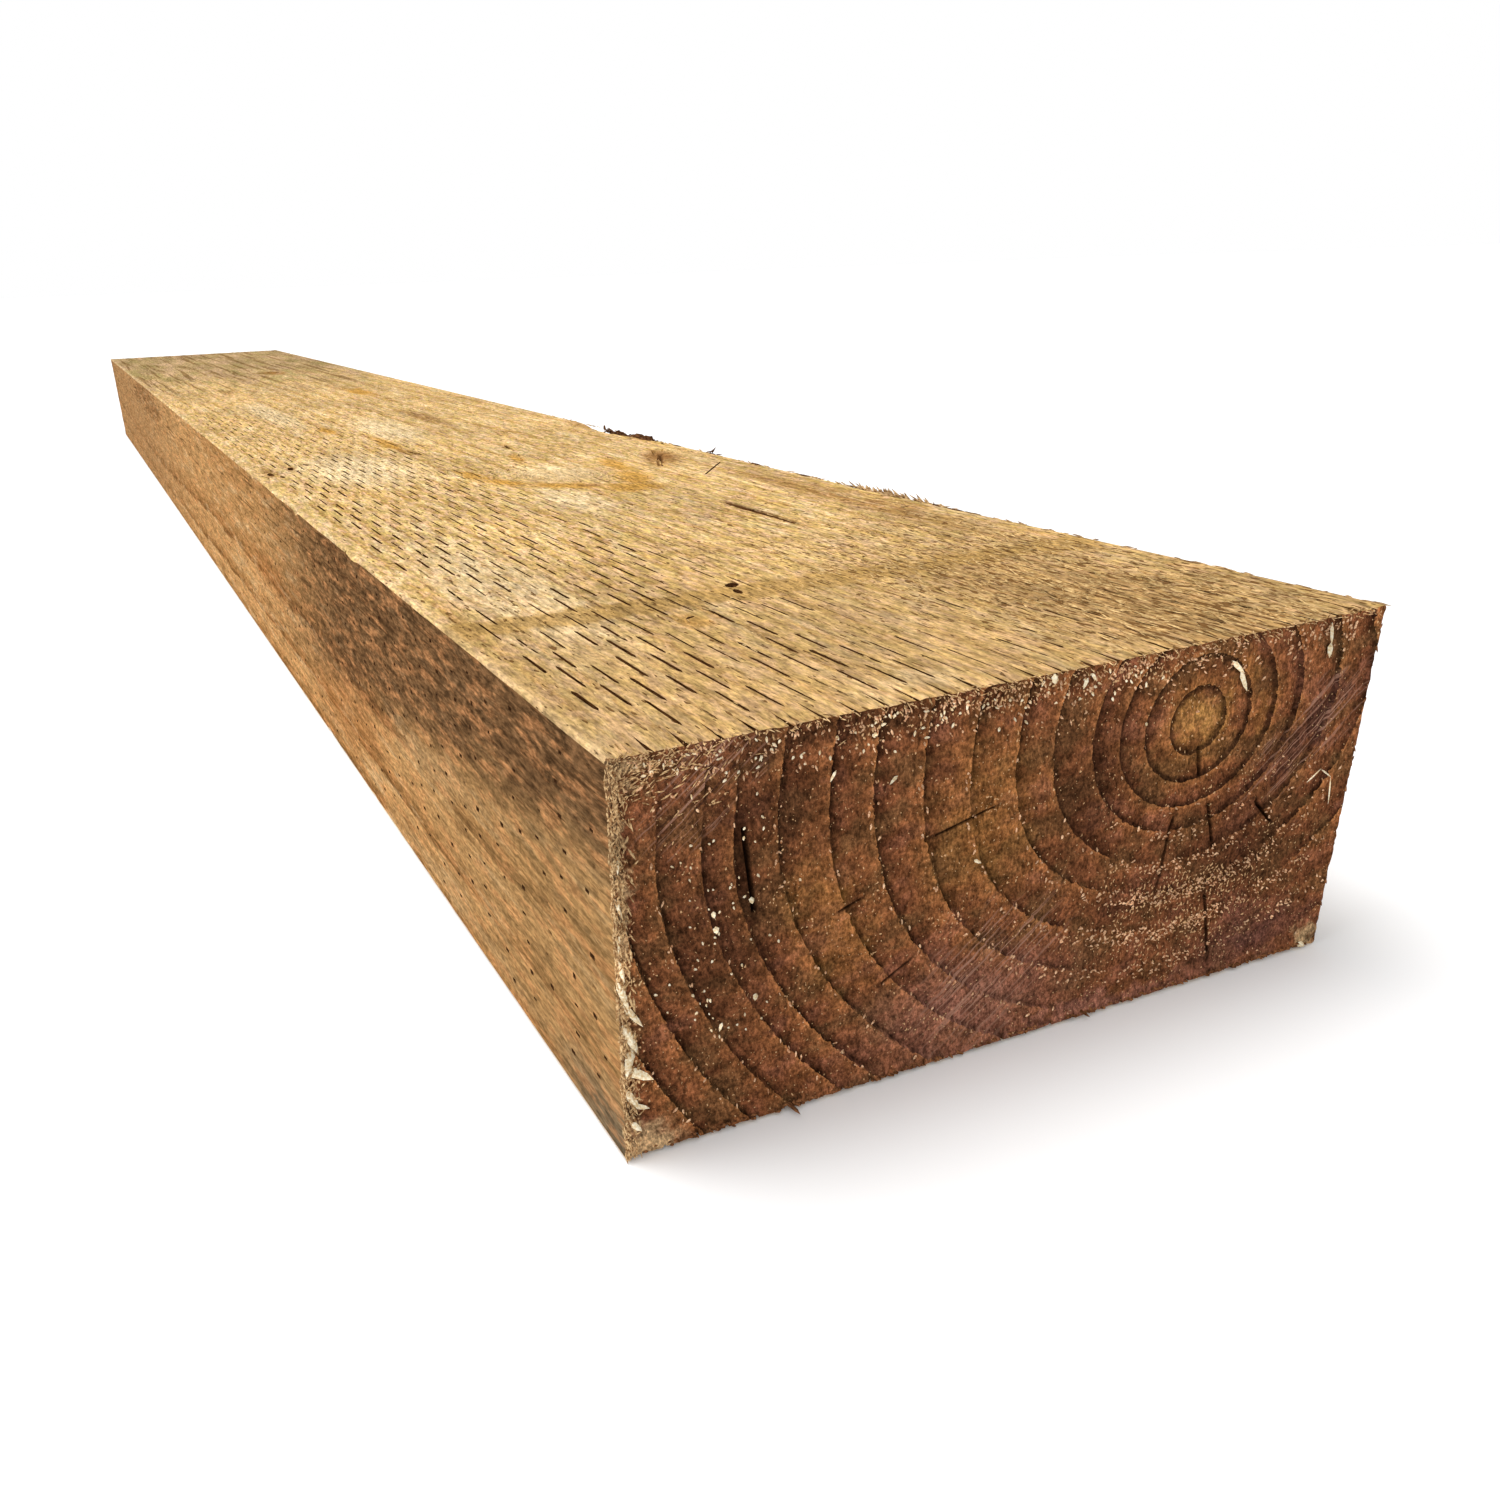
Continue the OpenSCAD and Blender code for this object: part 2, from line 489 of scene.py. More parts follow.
def build_long_face(timber, face, rows_by_arris, ends):
    """A long face: its border, incisions, holes and the gentle unevenness between them."""
    rng = random.Random("face " + face.name)
    wide = face in (TOP, BOTTOM)
    numbers = {"top": (0, 1), "bottom": (2, 3), "front": (0, 2), "back": (1, 3)}[face.name]
    k = 0 if wide else ACROSS_ARRIS
    col = 1 if wide else 2
    sheet = Sheet(timber, face)
    put, dig, chain = sheet.put, sheet.dig, sheet.chain

    stations = ends["stations"]
    first = [put(u, row[k][col], row[k][0]) for u, row in zip(stations, rows_by_arris[numbers[0]])]
    last = [
        put(u, face.size[1] - row[k][col], row[k][0])
        for u, row in zip(stations, rows_by_arris[numbers[1]])
    ]
    near = [put(0.0, v, vid) for vid, v, _ in ends["right"][face.name]]
    far = [put(LONG, v, vid) for vid, v, _ in ends["left"][face.name]]
    loop = first + far + last[::-1] + near[::-1]
    sheet.ring(loop)
    near_keels = {round(v, 4): i for i, (_, v, d) in zip(near, ends["right"][face.name]) if d > 0}
    far_keels = {round(v, 4): i for i, (_, v, d) in zip(far, ends["left"][face.name]) if d > 0}

    holes = HOLES if face is TOP else []

    def add_cut(rim, bottom, tone):
        rim_ids = [dig(u, v, swell(face, u, v)) for u, v, _ in rim]
        # The keel's sunk value is the tone: how much painted shade it gets.
        keel_ids = [dig(u, v, deep, tone) for u, v, deep in bottom]
        sheet.ring(rim_ids)
        chain(keel_ids)

    for h in holes:
        rim, bottom = boat(h.u, h.v, h.long, h.wide, h.deep, h.turn, h.sides, h.keel, rng)
        add_cut(rim, bottom, h.tone)

    def is_free(u, v, pad):
        inside = 2.5 < u < LONG - 2.5
        low_v = inset(u, numbers[0])[0] + 1.2
        high_v = face.size[1] - inset(u, numbers[1])[0] - 1.2
        return inside and low_v < v < high_v and not any(h.holds(u, v, pad) for h in holes)

    rows = lattice(face)
    for v, slits in rows:
        for u0, u1 in slits:
            cut_near, cut_far = u0 <= 0, u1 >= LONG
            torn = fray(0.5 * (u0 + u1), v) if face is TOP else 0.0
            sides, keel = (6, 2) if face is TOP else (4, 1)
            if not wide:
                sides, keel = (6, 1) if face is FRONT and u1 < 700 else (4, 1)
            if torn > 0.25 and not cut_near:
                short = rng.uniform(0.3, 0.9)
                middle = 0.5 * (u0 + u1) + rng.uniform(-6, 6)
                long = (u1 - u0) * short
                u0, u1 = middle - long / 2, middle + long / 2
            open_share = openness(face, 0.5 * (u0 + u1), v)
            width = SLIT_WIDE * rng.uniform(0.75, 1.25) * (0.45 + 0.6 * open_share)
            if rng.random() > 0.5 + open_share and not cut_near and not cut_far:
                continue
            if not wide:
                width = rng.uniform(0.8, 1.5)
            deep = SLIT_DEEP * rng.uniform(0.7, 1.1) if wide else rng.uniform(1.5, 2.5)
            if cut_near or cut_far:
                keels = near_keels if cut_near else far_keels
                key = next((q for q in keels if abs(q - v) < 0.01), None)
                if key is None:
                    continue
                middle = keels[key]
                sign = 1 if cut_near else -1
                tip_u = u1 if cut_near else u0
                end_u = 0.0 if cut_near else LONG
                if abs(tip_u - end_u) < 3:
                    tip_u = end_u + sign * 3
                tip = dig(tip_u, v, 0.0)
                deepest = dig(0.6 * tip_u + 0.4 * end_u, v, deep * 0.8, 1.0)
                if is_free(tip_u, v, 1.0):
                    chain([middle - 1, tip, middle + 1])
                    chain([middle, deepest])
                continue
            if not all(is_free(u0 - 0.5 + (u1 - u0 + 1) * i / 8, v, 1.2) for i in range(9)):
                continue
            rim, bottom = boat(
                0.5 * (u0 + u1), v, u1 - u0, width, deep, rng.uniform(-0.008, 0.008),
                sides, keel, rng, 0.35,
            )
            add_cut(rim, bottom, 1.0 if rng.random() < open_share else 0.04)

    for v0, _ in rows[:-1]:
        u = 4.0 + rng.uniform(0, 6)
        while u < LONG - 4:
            v = v0 + ROW_STEP / 2 + rng.uniform(-0.7, 0.7)
            if is_free(u, v, 1.0):
                dig(u, v, swell(face, u, v))
            gap = detail_gap(face, u, v)
            u += gap * rng.uniform(0.7, 1.3)
    sheet.fill(loop, WIDE_WOOD if wide else NARROW_WOOD)


def detail_gap(face, u, v):
    """Distance to the next loose point along a row."""
    gap = 26.0
    if face is TOP:
        gap = 7 if u < 170 else 13 if u < 520 else 26
        if fray(u, v) > 0.3:
            gap = 4.0
    p = face.place(u, v)
    for ku, turn, radius in KNOTS:
        if abs(u - ku) < 6 * radius:
            cy, cz = pith(p.x)
            way = (math.cos(math.radians(turn)), math.sin(math.radians(turn)))
            out = (p.y - cy) * way[0] + (p.z - cz) * way[1]
            side = (p.z - cz) * way[0] - (p.y - cy) * way[1]
            if out > 0 and abs(side) < 3.5 * radius:
                gap = min(gap, 5.0 if face is TOP else 9.0)
    return gap


# Radial drying checks of the ends: direction in degrees from the back towards the
# top, and the distances from the pith where the check starts and ends.
CHECKS = {
    "right": [(-77, 7, 17), (-97, 23, 48), (-71, 24, 40), (-76, 51, 76), (-46, 36, 50)],
    "left": [(-84, 10, 34), (-112, 28, 62), (-165, 40, 70)],
}
# Thin gaps seen on the right end besides the checks: from and to, across and down,
# and the width.
GAPS = [
    (31.5, 19, 34.8, 46, 1.4), (81, 35.6, 103, 30.6, 0.6), (69, 72.4, 79, 66.6, 0.6),
    (56, 49, 64, 46.5, 0.6),
]
STEP_DEEP = 0.9


def ring_runs(end, outer, spacing):
    """Runs of points along one ring's outer line that lie on this end."""
    x = X if end is RIGHT else -X
    cy, cz = pith(x)
    cuts = cuts_of(end)
    count = max(24, int(2 * math.pi * outer / spacing))
    runs, run = [], []
    for i in range(count + 1):
        a = 2 * math.pi * i / count
        r = outer
        for _ in range(5):
            point = (x, cy + math.cos(a) * r, cz + math.sin(a) * r)
            r += outer - reach(point)
        r += 0.45 * wobble((r * math.cos(a), r * math.sin(a), 0), 7, 53)
        u, v = cy + math.cos(a) * r + Y, THICK - cz - math.sin(a) * r
        inside = 2.6 < u < WIDE - 2.6 and 2.6 < v < THICK - 2.6
        clear = all(cut_gap(u, v, c) > c[4] + 0.3 for c in cuts)
        if inside and clear and r > 3:
            run.append((u, v, a))
        else:
            if len(run) > 3:
                runs.append(run)
            run = []
    if len(run) > 3:
        runs.append(run)
    if len(runs) > 1 and runs[0][0][2] < 1e-6 and runs[-1][-1][2] > 2 * math.pi - 1e-6:
        runs[0] = runs.pop()[:-1] + runs[0]
    return runs


def cuts_of(end):
    """Every narrow cut of an end: (ua, va, ub, vb, width, deep)."""
    cuts = [(*a, *b, 1.0, 12.0) for a, b in (check_line(end, c) for c in CHECKS[end.name])]
    if end is RIGHT:
        cuts += [(*gap, 2.5) for gap in GAPS]
    return cuts


def check_line(end, check):
    """Ends of a check as (u, v) pairs on an end face."""
    x = X if end is RIGHT else -X
    cy, cz = pith(x)
    a = math.radians(check[0])
    return [
        (cy + math.cos(a) * r + Y, THICK - cz - math.sin(a) * r) for r in check[1:]
    ]


def cut_gap(u, v, cut):
    """Distance from a point on an end to a cut."""
    ua, va, ub, vb = cut[:4]
    du, dv = ub - ua, vb - va
    t = max(0.0, min(1.0, ((u - ua) * du + (v - va) * dv) / (du * du + dv * dv)))
    return math.hypot(u - ua - t * du, v - va - t * dv)


def shown(end, u, v):
    """How far the rings' steps stand out: hardly at all below the right end's pith."""
    if end is not RIGHT:
        return 1.0
    return 1 - 0.85 * math.exp(-((u - 182) / 50) ** 2 - ((v - 84) / 25) ** 2)


def end_relief(end, u, v):
    """Depth of an end face here: each ring falls off in a small step at its outer line."""
    p = end.place(u, v)
    count = ring_count(reach(p))
    part = count % 1.0
    strength = shown(end, u, v) * (0.65 + 0.5 * wobble(p, 30, 61))
    slope = STEP_DEEP * strength * part ** 4
    tear = 0.42 * wobble(p, 2.4, 62) + 0.3 * wobble(p, 7, 63)
    return 0.4 + slope + tear


def build_end(timber, end, rows_by_arris, sides, spacing):
    """An end face: ring steps, drying checks and torn end grain, with points this far apart."""
    rng = random.Random("end " + end.name)
    sheet = Sheet(timber, end)
    put, dig = sheet.put, sheet.dig
    pick = 0 if end is RIGHT else -1

    def corner(number, order):
        sa, sb = ARRISES[number][2:]
        found = []
        for vid, pa, pb in rows_by_arris[number][pick]:
            u = pa if sa > 0 else WIDE - pa
            v = pb if sb > 0 else THICK - pb
            found.append(put(u, v, vid))
        return found if order > 0 else found[::-1]

    top = [put(v, d, vid) for vid, v, d in sides["top"]]
    bottom = [put(v, THICK - d, vid) for vid, v, d in sides["bottom"]]
    front = [put(d, v, vid) for vid, v, d in sides["front"]]
    back = [put(WIDE - d, v, vid) for vid, v, d in sides["back"]]
    loop = corner(0, -1) + top + corner(1, 1) + back + corner(3, -1) + bottom[::-1]
    loop += corner(2, 1) + front[::-1]
    sheet.ring(loop)

    taken = set()
    cell = 0.8

    def mark(u, v):
        taken.add((round(u / cell), round(v / cell)))

    def is_taken(u, v):
        cu, cv = round(u / cell), round(v / cell)
        return any((cu + i, cv + j) in taken for i in (-1, 0, 1) for j in (-1, 0, 1))

    for _, v, deep in sides["top"]:
        if deep > 0:
            mark(v, deep)
    cuts = cuts_of(end)
    for ua, va, ub, vb, wide, deep in cuts:
        long = math.hypot(ub - ua, vb - va)
        turn = math.atan2(vb - va, ub - ua)
        rim, bottom_line = boat(
            0.5 * (ua + ub), 0.5 * (va + vb), long, wide, deep, turn, 14, 5, rng, 0.5
        )
        # Rims and keels of the checks and gaps carry sunk values for painted shade.
        rim_ids = [dig(u, v, end_relief(end, u, v), 0.5) for u, v, _ in rim]
        keel_ids = [dig(u, v, d, 1.0) for u, v, d in bottom_line]
        sheet.ring(rim_ids)
        sheet.chain(keel_ids)

    for outer in RINGS:
        for run in ring_runs(end, outer, spacing):
            crest, foot = [], []
            for i, (u, v, a) in enumerate(run):
                fade = min(1.0, min(i, len(run) - 1 - i) / 4)
                strength = fade * shown(end, u, v) * (0.65 + 0.5 * wobble((u, v, 0), 30, 61))
                width = 0.35 + 0.35 * fade
                cu, cv = math.cos(a), -math.sin(a)
                fu, fv = u - cu * width, v - cv * width
                top_deep = 0.25 + 0.12 * wobble((u, v, 0), 5, 67)
                crest.append(dig(u, v, top_deep))
                # The foot lies deeper, and its sunk value gives it painted shade.
                foot.append(dig(fu, fv, top_deep + 1.15 * strength, 0.55 * strength))
                mark(u, v)
                mark(fu, fv)
            sheet.chain(crest)
            sheet.chain(foot)

    v = 2.2
    while v < THICK - 2:
        u = 2.2
        while u < WIDE - 2:
            pu = u + rng.uniform(-0.45, 0.45) * spacing
            pv = v + rng.uniform(-0.4, 0.4) * spacing
            inside = 1.9 < pu < WIDE - 1.9 and 1.9 < pv < THICK - 1.9
            clear = all(cut_gap(pu, pv, c) > c[4] + 0.1 for c in cuts)
            if inside and clear and not is_taken(pu, pv):
                dig(pu, pv, end_relief(end, pu, pv))
            u += spacing
        v += spacing
    sheet.fill(loop, END_WOOD)


def make_mesh(name, points, faces, slots, materials):
    """An object in metres from points in millimetres."""
    mesh = bpy.data.meshes.new(name)
    mesh.from_pydata([settled(p) * MM for p in points], [], faces)
    for m in materials:
        mesh.materials.append(m)
    mesh.polygons.foreach_set("material_index", slots)
    mesh.update()
    piece = bpy.data.objects.new(name, mesh)
    bpy.context.scene.collection.objects.link(piece)
    return piece


def set_floats(mesh, name, values):
    layer = mesh.attributes.new(name, "FLOAT", "POINT")
    layer.data.foreach_set("value", values)


def set_vectors(mesh, name, values):
    layer = mesh.attributes.new(name, "FLOAT_VECTOR", "POINT")
    layer.data.foreach_set("vector", [c for v in values for c in v])


def settled(point):
    """The sawn timber is a little thicker at the back corner of its right end."""
    u, v = X - point.x, point.y + Y
    rise = 0.5 + 1.8 * (v / WIDE) ** 2
    return point + Vector((0, 0, rise * math.exp(-((u / 190) ** 2)) * point.z / THICK))


def describe_wood(mesh, points, sunk):
    """Gives each vertex its place in the wood, which the materials read."""
    grain, growth, knots, torn = [], [], [], []
    for p in points:
        straight, knot = bent(p)
        grain.append(straight)
        growth.append(ring_count(max(0.0, reach(straight))))
        knots.append(knot)
        torn.append(fray(X - p.x, p.y + Y) * (p.z > THICK - 3))
    set_vectors(mesh, "grain", grain)
    set_floats(mesh, "growth", growth)
    set_floats(mesh, "knot", knots)
    set_floats(mesh, "sunk", sunk)
    set_floats(mesh, "torn", torn)


def build_timber(materials):
    timber = Timber()
    rng = random.Random("stations")
    stations = [0.0]
    while stations[-1] < LONG - 9:
        step = 5.5 if stations[-1] < 640 else 8.5
        stations.append(stations[-1] + step * rng.uniform(0.75, 1.25))
    stations.append(LONG)
    rows_by_arris = [build_arris(timber, n, stations) for n in range(4)]
    ends = {"stations": stations}
    ends["right"] = end_edge(timber, RIGHT, rows_by_arris, random.Random("right edge"))
    ends["left"] = end_edge(timber, LEFT, rows_by_arris, random.Random("left edge"))
    for face in (TOP, BOTTOM, FRONT, BACK):
        build_long_face(timber, face, rows_by_arris, ends)
    build_end(timber, RIGHT, rows_by_arris, ends["right"], 1.5)
    build_end(timber, LEFT, rows_by_arris, ends["left"], 2.2)
    piece = make_mesh("sleeper_timber", timber.points, timber.faces, timber.slots, materials)
    describe_wood(piece.data, timber.points, timber.sunk)
    return piece


# ---------------------------------------------------------------- materials


SPOT_DEEP = 14


class Shader:
    """A short way of writing a material's nodes. Values may be numbers or sockets."""

    def __init__(self, name):
        self.material = bpy.data.materials.new(name)
        self.material.use_nodes = True
        self.tree = self.material.node_tree
        self.tree.nodes.clear()
        self.wood = None

    def node(self, kind, **settings):
        made = self.tree.nodes.new("ShaderNode" + kind)
        for key, value in settings.items():
            setattr(made, key, value)
        return made

    def feed(self, socket, value):
        if isinstance(value, bpy.types.NodeSocket):
            self.tree.links.new(value, socket)
        elif value is not None:
            socket.default_value = value

    def math(self, operation, a, b=None):
        n = self.node("Math", operation=operation)
        self.feed(n.inputs[0], a)
        self.feed(n.inputs[1], b)
        return n.outputs[0]

    def plus(self, a, b):
        return self.math("ADD", a, b)

    def minus(self, a, b):
        return self.math("SUBTRACT", a, b)

    def times(self, a, b):
        return self.math("MULTIPLY", a, b)

    def attribute(self, name, output="Fac"):
        n = self.node("Attribute", attribute_name=name)
        return n.outputs[output]

    def local(self, vector, size, centre=(0, 0, 0), turn=0.0):
        """The vector seen from a centre, turned back by degrees and divided by size."""
        n = self.node("Mapping", vector_type="TEXTURE")
        self.feed(n.inputs["Vector"], vector)
        n.inputs["Location"].default_value = centre
        n.inputs["Rotation"].default_value = (0, 0, math.radians(turn))
        n.inputs["Scale"].default_value = size
        return n.outputs[0]

    def noise(self, vector, size, detail=2.0, rough=0.5, turn=0.0, output=0):
        """Noise around 0.5 on a vector in millimetres, with features of this size."""
        n = self.node("TexNoise")
        self.feed(n.inputs["Vector"], self.local(vector, size, turn=turn))
        n.inputs["Scale"].default_value = 1.0
        n.inputs["Detail"].default_value = detail
        n.inputs["Roughness"].default_value = rough
        return n.outputs[output]

    def span(self, value, low, high, start=0.0, end=1.0, smooth=True):
        """Carries value from low..high to start..end, held at both."""
        n = self.node("MapRange", interpolation_type="SMOOTHSTEP" if smooth else "LINEAR")
        self.feed(n.inputs["Value"], value)
        self.feed(n.inputs["From Min"], low)
        self.feed(n.inputs["From Max"], high)
        self.feed(n.inputs["To Min"], start)
        self.feed(n.inputs["To Max"], end)
        return n.outputs[0]

    def ramp(self, value, stops):
        n = self.node("ValToRGB")
        self.feed(n.inputs[0], value)
        items = n.color_ramp.elements
        while len(items) < len(stops):
            items.new(0.5)
        for item, (place, colour) in zip(items, stops):
            item.position = place
            item.color = (*colour, 1)
        return n.outputs[0]

    def mix(self, a, b, amount):
        n = self.node("Mix", data_type="RGBA")
        self.feed(n.inputs[0], amount)
        self.feed(n.inputs[6], (*a, 1) if isinstance(a, tuple) else a)
        self.feed(n.inputs[7], (*b, 1) if isinstance(b, tuple) else b)
        return n.outputs[2]

    def paint(self, colour, mask, strength=None):
        """Lays a colour over the wood where the mask is."""
        amount = mask if strength is None else self.times(mask, strength)
        self.wood = self.mix(self.wood, colour, amount)

    def mottled(self, value, dark, light):
        """The wood darkened and lightened by a noise value."""
        n = self.node("VectorMath", operation="SCALE")
        self.feed(n.inputs[0], self.wood)
        self.feed(n.inputs["Scale"], self.span(value, 0.37, 0.63, dark, light, False))
        return n.outputs[0]

    def mottle(self, value, dark, light):
        self.wood = self.mottled(value, dark, light)

    def spot(self, vector, u, v, ru, rv, turn=0.0, soft=0.3):
        """1 inside an ellipse on a face, fading to 0 at its outline and at SPOT_DEEP."""
        length = self.node("VectorMath", operation="LENGTH")
        self.feed(length.inputs[0], self.local(vector, (ru, rv, SPOT_DEEP), (u, v, 0), turn))
        return self.span(length.outputs["Value"], 1.0, soft)

    def spots(self, vector, places, **settings):
        masks = [self.spot(vector, *place, **settings) for place in places]
        total = masks[0]
        for mask in masks[1:]:
            total = self.math("MAXIMUM", total, mask)
        return total

    def combine(self, a, b, c):
        n = self.node("CombineXYZ")
        for socket, value in zip(n.inputs, (a, b, c)):
            self.feed(socket, value)
        return n.outputs[0]

    def from_corner(self):
        """Millimetres along from the right end, in from the front and down from the top."""
        place = self.node("SeparateXYZ")
        source = self.node("TexCoord").outputs["Object"]
        self.feed(place.inputs[0], self.local(source, (MM, MM, MM)))
        along = self.minus(X, place.outputs[0])
        inward = self.plus(place.outputs[1], Y)
        down = self.minus(THICK, place.outputs[2])
        return along, inward, down

    def strayed(self, vector, size, stray):
        """The vector pushed about by noise of a size, so that outlines drawn on it are ragged."""
        n = self.node("VectorMath", operation="MULTIPLY_ADD")
        self.feed(n.inputs[0], self.noise(vector, (size,) * 3, 3, 0.6, output=1))
        n.inputs[1].default_value = [2 * q for q in stray]
        back = self.node("VectorMath", operation="SUBTRACT")
        self.feed(back.inputs[0], vector)
        back.inputs[1].default_value = stray
        self.feed(n.inputs[2], back.outputs[0])
        return n.outputs[0]

    def finish(self, rough, height, distance):
        """The material: the wood's colour, a dull surface and fine relief."""
        shader = self.node("BsdfPrincipled")
        self.feed(shader.inputs["Base Color"], self.wood)
        self.feed(shader.inputs["Roughness"], rough)
        shader.inputs["Specular IOR Level"].default_value = 0.0
        bump = self.node("Bump")
        bump.inputs["Strength"].default_value = 1.0
        bump.inputs["Distance"].default_value = distance
        self.feed(bump.inputs["Height"], height)
        self.feed(shader.inputs["Normal"], bump.outputs[0])
        out = self.node("OutputMaterial")
        self.feed(out.inputs["Surface"], shader.outputs[0])
        return self.material


# Stains on the top: along, across, half length, half width and turn of each.
RESIN_STAINS = [
    (318, 146, 20, 20, -40), (341, 121, 30, 11, -46), (366, 101, 26, 9, -26), (400, 94, 34, 6, -4),
    (345, 158, 38, 12, 14), (390, 167, 40, 9, 10), (556, 90, 62, 7), (448, 134, 24, 5, 12),
    (655, 73, 30, 7), (950, 160, 70, 12), (88, 63, 11, 6),
]
BROWN_STAINS = [
    (40, 172, 110, 36), (230, 207, 150, 16), (394, 194, 44, 14, 18), (412, 202, 30, 9, 18),
    (560, 222, 60, 12), (470, 9, 26, 6), (1270, 170, 60, 14), (1050, 60, 60, 10),
    (700, 150, 90, 12), (336, 131, 12, 6, -46), (512, 92, 32, 5, -4), (228, 161, 56, 4.5),
    (497, 144, 18, 4, 10), (484, 21, 14, 4),
]
PALE_STAINS = [
    (383, 132, 42, 24, -10), (300, 110, 50, 16), (12, 85, 9, 14), (460, 50, 90, 40),
    (640, 110, 120, 22), (800, 60, 150, 16), (150, 30, 120, 24),
]


def wide_material():
    """The straw-coloured wide faces."""
    s = Shader("sawn_wide_face")
    along, inward, down = s.from_corner()
    face = s.combine(along, inward, down)
    grain = s.attribute("grain", "Vector")
    growth = s.attribute("growth")
    loose = s.strayed(face, 9, (9, 5, 0))

    ragged = s.noise(grain, (26, 3.0, 3.0), 3, 0.6)
    phase = s.math("FRACT", s.plus(growth, s.times(ragged, 0.5)))
    s.wood = s.ramp(phase, [
        (0.0, (0.70, 0.47, 0.20)),
        (0.45, (0.69, 0.455, 0.19)),
        (0.80, (0.60, 0.37, 0.135)),
        (0.93, (0.44, 0.235, 0.07)),
        (1.0, (0.64, 0.41, 0.16)),
    ])
    patch = s.noise(grain, (34, 6, 6), 4, 0.7)
    s.paint((0.84, 0.64, 0.36), s.span(patch, 0.50, 0.66, 0.0, 0.8))
    s.paint((0.50, 0.28, 0.09), s.span(patch, 0.46, 0.32, 0.0, 0.75))
    hue = s.noise(grain, (8, 2.6, 2.6), 3, 0.6)
    s.paint((0.80, 0.50, 0.31), s.span(hue, 0.50, 0.62, 0.0, 0.6))
    s.paint((0.58, 0.42, 0.12), s.span(hue, 0.50, 0.38, 0.0, 0.55))
    broken = s.span(s.noise(grain, (12, 2, 2), 3, 0.6), 0.40, 0.58, 0.35, 1.0)

    loose_along = s.node("SeparateXYZ")
    s.feed(loose_along.inputs[0], loose)
    off = loose_along.outputs[0]
    band = s.times(s.span(off, 100, 106), s.span(off, 123, 117))
    faint = s.times(s.span(off, 164, 169), s.span(off, 181, 176))
    stain = s.plus(s.times(band, 0.85), s.times(faint, 0.3))
    s.paint((0.92, 0.73, 0.45), s.times(s.spots(loose, PALE_STAINS), broken), 0.7)
    s.paint((0.56, 0.29, 0.055), s.spots(loose, RESIN_STAINS), 0.85)
    s.paint((0.34, 0.175, 0.06), s.times(s.spots(loose, BROWN_STAINS), broken), 0.9)
    s.paint((0.62, 0.40, 0.17), s.attribute("knot"), 0.4)
    eye = s.plus(s.spot(loose, 404, 199, 30, 13, 10), s.times(s.spot(face, 404, 199, 17, 8, 10), 0.6))
    s.paint((0.33, 0.155, 0.05), s.math("MINIMUM", s.times(eye, 0.6), 0.9))
    s.paint((0.42, 0.25, 0.065), s.times(stain, s.span(down, 40, 10)))
    s.paint((0.48, 0.29, 0.12), s.span(along, 260, 20, 0.0, 0.6))
    s.paint((0.41, 0.285, 0.14), s.span(along, 1000, 1500, 0.0, 0.8))
    s.paint((0.32, 0.16, 0.045), s.spot(loose, 1278, 138, 44, 20), 0.95)
    far = s.span(along, 900, 1200)
    flush = s.noise(grain, (90, 16, 16), 3, 0.6)
    s.paint((0.62, 0.40, 0.24), s.times(s.span(flush, 0.50, 0.64), s.times(far, 0.6)))
    s.paint((0.34, 0.27, 0.095), s.times(s.span(flush, 0.48, 0.36), s.times(far, 0.6)))
    seams = s.noise(grain, (240, 6, 6), 3, 0.65)
    s.paint((0.23, 0.13, 0.048), s.times(s.span(seams, 0.51, 0.61), s.times(far, 0.8)))

    # Painted highlight along the eased front arris of the top.
    arris = s.times(s.span(inward, 3.0, 0.8), s.span(down, 3.0, 0.8))
    s.paint((0.80, 0.58, 0.31), arris, 0.3)

    broad = s.noise(face, (110, 40, 40), 2, 0.5)
    s.mottle(broad, 0.88, 1.12)
    streak = s.noise(grain, (9, 1.6, 1.6), 3, 0.65)
    s.mottle(streak, 0.70, 1.24)
    fibre = s.noise(grain, (2.8, 1.0, 1.0), 2, 0.6)
    s.mottle(fibre, 0.76, 1.22)
    s.mottle(s.noise(grain, (22, 2.2, 2.2), 3, 0.6), 0.86, 1.12)
    # Small dark pits, most where the grain is torn: painted shade of small hollows, which the bump also
    # sinks.
    pits = s.noise(grain, (5.5, 1.3, 1.3), 1, 0.5)
    torn = s.span(s.attribute("torn"), 0.0, 1.0, 0.70, 0.56, False)
    pit = s.span(s.minus(pits, torn), -0.02, 0.03)
    s.paint((0.17, 0.08, 0.025), pit, 0.9)
    # Painted shade inside the incisions and holes by the sunk attribute, partly the darker treatment
    # soaked into them; darkest near the right end.
    cut = s.mix((0.095, 0.038, 0.013), (0.17, 0.090, 0.035), s.span(along, 480, 950))
    s.paint(cut, s.span(s.attribute("sunk"), 0.0, 0.035))

    height = s.plus(s.times(fibre, 0.6), s.times(streak, 1.0))
    height = s.minus(height, s.times(pit, 0.7))
    return s.finish(s.span(fibre, 0.3, 0.7, 0.62, 0.85), height, 0.0011)


